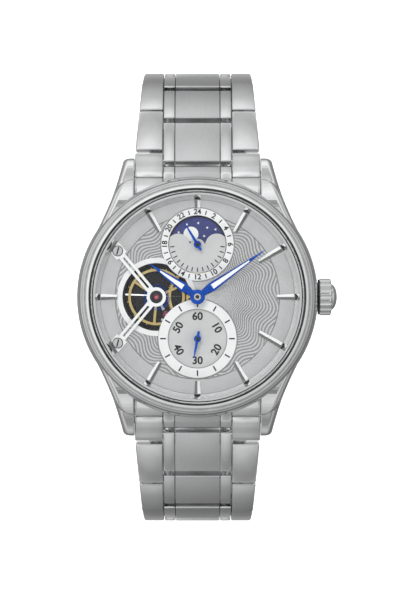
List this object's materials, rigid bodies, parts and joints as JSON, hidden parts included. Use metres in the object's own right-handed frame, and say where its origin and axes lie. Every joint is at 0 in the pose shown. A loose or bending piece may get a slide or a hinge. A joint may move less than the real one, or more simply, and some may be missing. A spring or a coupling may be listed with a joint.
{
  "type": "automatic wristwatch",
  "caption": "Automatic wristwatch with open balance aperture, day and night and small seconds subdials, and a link bracelet with folding clasp.",
  "frame": {"origin": "centre of the case back's flat outer face, on the axis of the centre hands", "axes": "+Z out of the dial, +Y towards 12 o'clock, +X towards the crown at 3 o'clock"},
  "size_m": [0.0456, 0.0824, 0.0485],
  "materials": {
    "polished_steel": "mirror polished stainless steel",
    "brushed_steel": "fine brushed stainless steel",
    "dial_silver": "satin silver dial plate",
    "movement_nickel": "nickel plated brass with fine graining",
    "gilt_brass": "gilt brass",
    "blued_steel": "polished blued steel",
    "night_blue": "dark blue lacquered disc",
    "ruby": "polished synthetic ruby",
    "mineral_glass": "clear mineral glass",
    "gasket_black": "black gasket"
  },
  "bodies": {
    "case": {"case_middle": "polished_steel", "bezel": "polished_steel", "crystal": "mineral_glass", "crystal_gasket": "gasket_black", "case_back": "polished_steel", "case_back_crystal": "mineral_glass", "crown_tube": "polished_steel", "movement_ring": "movement_nickel", "dial": "dial_silver", "rehaut": "dial_silver", "hour_markers": "polished_steel", "subdial_plates": "dial_silver", "subdial_rings": "dial_silver", "heart_bridge": "polished_steel", "screws": "brushed_steel", "main_plate": "movement_nickel", "bridges": "movement_nickel", "jewels": "ruby", "end_links": "polished_steel", "spring_bars": "brushed_steel"},
    "minute_work": {"centre_wheel": "gilt_brass", "minute_hand": "blued_steel"},
    "hour_work": {"hour_wheel": "gilt_brass", "hour_hand": "blued_steel"},
    "minute_wheel": {"minute_wheel": "gilt_brass"},
    "third_wheel": {"third_wheel": "gilt_brass"},
    "fourth_wheel": {"fourth_wheel": "gilt_brass", "seconds_hand": "blued_steel"},
    "escape_wheel": {"escape_wheel": "gilt_brass"},
    "pallet_fork": {"pallet_fork": "brushed_steel"},
    "balance": {"balance_wheel": "gilt_brass", "hairspring": "brushed_steel"},
    "barrel": {"barrel": "gilt_brass"},
    "idler_wheel": {"idler_wheel": "gilt_brass"},
    "day_night_work": {"day_wheel": "gilt_brass", "day_night_disc": "night_blue", "day_hand": "blued_steel"},
    "rotor": {"rotor": "brushed_steel"},
    "setting_lever": {"setting_lever": "brushed_steel"},
    "crown": {"crown": "polished_steel", "stem": "brushed_steel"},
    "links_12_1": {"links_12_1": "brushed_steel"},
    "links_12_2": {"links_12_2": "brushed_steel"},
    "links_12_3": {"links_12_3": "brushed_steel"},
    "links_12_4": {"links_12_4": "brushed_steel"},
    "links_12_5": {"links_12_5": "brushed_steel"},
    "links_12_6": {"links_12_6": "brushed_steel"},
    "links_12_7": {"links_12_7": "brushed_steel"},
    "links_6_1": {"links_6_1": "brushed_steel"},
    "links_6_2": {"links_6_2": "brushed_steel"},
    "links_6_3": {"links_6_3": "brushed_steel"},
    "links_6_4": {"links_6_4": "brushed_steel"},
    "links_6_5": {"links_6_5": "brushed_steel"},
    "links_6_6": {"links_6_6": "brushed_steel"},
    "links_6_7": {"links_6_7": "brushed_steel"},
    "clasp_cover": {"clasp_cover": "brushed_steel"},
    "clasp_middle_blade": {"clasp_middle_blade": "brushed_steel"},
    "clasp_inner_blade": {"clasp_inner_blade": "brushed_steel"},
    "clasp_button_right": {"clasp_button_right": "polished_steel"},
    "clasp_button_left": {"clasp_button_left": "polished_steel"}
  },
  "joints": [
    {"name": "minute_turn", "type": "hinge", "parent": "case", "child": "minute_work", "pos_m": [0, 0, 0.007], "axis": [0, 0, -1], "continuous": true},
    {"name": "hour_turn", "type": "hinge", "parent": "case", "child": "hour_work", "pos_m": [0, 0, 0.007], "axis": [0, 0, -1], "continuous": true},
    {"name": "minute_wheel_turn", "type": "hinge", "parent": "case", "child": "minute_wheel", "pos_m": [0.00177, -0.00177, 0.007], "axis": [0, 0, -1], "continuous": true},
    {"name": "third_turn", "type": "hinge", "parent": "case", "child": "third_wheel", "pos_m": [0.00408, -0.0042, 0.005], "axis": [0, 0, -1], "continuous": true},
    {"name": "seconds_turn", "type": "hinge", "parent": "case", "child": "fourth_wheel", "pos_m": [0, -0.00726, 0.007], "axis": [0, 0, -1], "continuous": true},
    {"name": "escape_turn", "type": "hinge", "parent": "case", "child": "escape_wheel", "pos_m": [-0.00408, -0.00561, 0.005], "axis": [0, 0, -1], "continuous": true},
    {"name": "barrel_turn", "type": "hinge", "parent": "case", "child": "barrel", "pos_m": [0.00213, 0.00586, 0.005], "axis": [0, 0, -1], "continuous": true},
    {"name": "idler_turn", "type": "hinge", "parent": "case", "child": "idler_wheel", "pos_m": [0, 0.00357, 0.007], "axis": [0, 0, -1], "continuous": true},
    {"name": "day_night_turn", "type": "hinge", "parent": "case", "child": "day_night_work", "pos_m": [0, 0.00914, 0.007], "axis": [0, 0, -1], "continuous": true},
    {"name": "fork_swing", "type": "hinge", "parent": "case", "child": "pallet_fork", "pos_m": [-0.00548, -0.00307, 0.005], "axis": [0, 0, 1], "range_deg": [-3, 3]},
    {"name": "balance_swing", "type": "hinge", "parent": "case", "child": "balance", "pos_m": [-0.00716, 0, 0.0064], "axis": [0, 0, 1], "range_deg": [-270, 270], "stiffness_Nm_per_rad": 0.0000004, "deforming": ["hairspring"]},
    {"name": "rotor_turn", "type": "hinge", "parent": "case", "child": "rotor", "pos_m": [0, 0, 0.0025], "axis": [0, 0, -1], "continuous": true},
    {"name": "stem_pull", "type": "slide", "parent": "case", "child": "setting_lever", "axis": [1, 0, 0], "range_m": [0, 0.0009]},
    {"name": "crown_turn", "type": "hinge", "parent": "setting_lever", "child": "crown", "pos_m": [0.022, 0, 0.0049], "axis": [1, 0, 0], "continuous": true},
    {"name": "row_12_1_fold", "type": "hinge", "parent": "case", "child": "links_12_1", "pos_m": [0, 0.0243, 0.0025], "axis": [1, 0, 0], "range_deg": [0, 24]},
    {"name": "row_12_2_fold", "type": "hinge", "parent": "links_12_1", "child": "links_12_2", "pos_m": [0, 0.03161, -0.00075], "axis": [1, 0, 0], "range_deg": [0, 23]},
    {"name": "row_12_3_fold", "type": "hinge", "parent": "links_12_2", "child": "links_12_3", "pos_m": [0, 0.03706, -0.0066], "axis": [1, 0, 0], "range_deg": [0, 25]},
    {"name": "row_12_4_fold", "type": "hinge", "parent": "links_12_3", "child": "links_12_4", "pos_m": [0, 0.03954, -0.01421], "axis": [1, 0, 0], "range_deg": [0, 26]},
    {"name": "row_12_5_fold", "type": "hinge", "parent": "links_12_4", "child": "links_12_5", "pos_m": [0, 0.03842, -0.02214], "axis": [1, 0, 0], "range_deg": [0, 26]},
    {"name": "row_12_6_fold", "type": "hinge", "parent": "links_12_5", "child": "links_12_6", "pos_m": [0, 0.03395, -0.02877], "axis": [1, 0, 0], "range_deg": [0, 26]},
    {"name": "row_12_7_fold", "type": "hinge", "parent": "links_12_6", "child": "links_12_7", "pos_m": [0, 0.02702, -0.03277], "axis": [1, 0, 0], "range_deg": [0, 22]},
    {"name": "row_6_1_fold", "type": "hinge", "parent": "case", "child": "links_6_1", "pos_m": [0, -0.0243, 0.0025], "axis": [-1, 0, 0], "range_deg": [0, 24]},
    {"name": "row_6_2_fold", "type": "hinge", "parent": "links_6_1", "child": "links_6_2", "pos_m": [0, -0.03161, -0.00075], "axis": [-1, 0, 0], "range_deg": [0, 23]},
    {"name": "row_6_3_fold", "type": "hinge", "parent": "links_6_2", "child": "links_6_3", "pos_m": [0, -0.03706, -0.0066], "axis": [-1, 0, 0], "range_deg": [0, 25]},
    {"name": "row_6_4_fold", "type": "hinge", "parent": "links_6_3", "child": "links_6_4", "pos_m": [0, -0.03954, -0.01421], "axis": [-1, 0, 0], "range_deg": [0, 26]},
    {"name": "row_6_5_fold", "type": "hinge", "parent": "links_6_4", "child": "links_6_5", "pos_m": [0, -0.03842, -0.02214], "axis": [-1, 0, 0], "range_deg": [0, 26]},
    {"name": "row_6_6_fold", "type": "hinge", "parent": "links_6_5", "child": "links_6_6", "pos_m": [0, -0.03395, -0.02877], "axis": [-1, 0, 0], "range_deg": [0, 26]},
    {"name": "row_6_7_fold", "type": "hinge", "parent": "links_6_6", "child": "links_6_7", "pos_m": [0, -0.02702, -0.03277], "axis": [-1, 0, 0], "range_deg": [0, 22]},
    {"name": "clasp_cover_fold", "type": "hinge", "parent": "links_12_7", "child": "clasp_cover", "pos_m": [0, 0.0191, -0.03388], "axis": [1, 0, 0], "range_deg": [0, 100]},
    {"name": "middle_blade_unfold", "type": "hinge", "parent": "clasp_cover", "child": "clasp_middle_blade", "pos_m": [0, -0.0154, -0.03413], "axis": [1, 0, 0], "range_deg": [0, 100]},
    {"name": "inner_blade_unfold", "type": "hinge", "parent": "clasp_middle_blade", "child": "clasp_inner_blade", "pos_m": [0, 0.0156, -0.03353], "axis": [-1, 0, 0], "range_deg": [0, 100]},
    {"name": "button_right_press", "type": "slide", "parent": "clasp_cover", "child": "clasp_button_right", "axis": [-1, 0, 0], "range_m": [0, 0.0006], "stiffness_N_per_m": 300},
    {"name": "button_left_press", "type": "slide", "parent": "clasp_cover", "child": "clasp_button_left", "axis": [1, 0, 0], "range_m": [0, 0.0006], "stiffness_N_per_m": 300}
  ],
  "couplings": [
    {"joint": "hour_turn", "follows": "minute_turn", "ratio": 0.083333},
    {"joint": "minute_wheel_turn", "follows": "minute_turn", "ratio": -0.33333},
    {"joint": "third_turn", "follows": "minute_turn", "ratio": -8},
    {"joint": "seconds_turn", "follows": "minute_turn", "ratio": 60},
    {"joint": "escape_turn", "follows": "minute_turn", "ratio": -600},
    {"joint": "barrel_turn", "follows": "minute_turn", "ratio": -0.18182},
    {"joint": "idler_turn", "follows": "minute_turn", "ratio": -0.10753},
    {"joint": "day_night_turn", "follows": "minute_turn", "ratio": 0.041667},
    {"joint": "row_12_2_fold", "follows": "row_12_1_fold", "ratio": 0.95833},
    {"joint": "row_12_3_fold", "follows": "row_12_1_fold", "ratio": 1.0417},
    {"joint": "row_12_4_fold", "follows": "row_12_1_fold", "ratio": 1.0833},
    {"joint": "row_12_5_fold", "follows": "row_12_1_fold", "ratio": 1.0833},
    {"joint": "row_12_6_fold", "follows": "row_12_1_fold", "ratio": 1.0833},
    {"joint": "row_12_7_fold", "follows": "row_12_1_fold", "ratio": 0.91667},
    {"joint": "row_6_2_fold", "follows": "row_6_1_fold", "ratio": 0.95833},
    {"joint": "row_6_3_fold", "follows": "row_6_1_fold", "ratio": 1.0417},
    {"joint": "row_6_4_fold", "follows": "row_6_1_fold", "ratio": 1.0833},
    {"joint": "row_6_5_fold", "follows": "row_6_1_fold", "ratio": 1.0833},
    {"joint": "row_6_6_fold", "follows": "row_6_1_fold", "ratio": 1.0833},
    {"joint": "row_6_7_fold", "follows": "row_6_1_fold", "ratio": 0.91667},
    {"joint": "middle_blade_unfold", "follows": "clasp_cover_fold", "ratio": 1},
    {"joint": "inner_blade_unfold", "follows": "clasp_cover_fold", "ratio": 1}
  ]
}
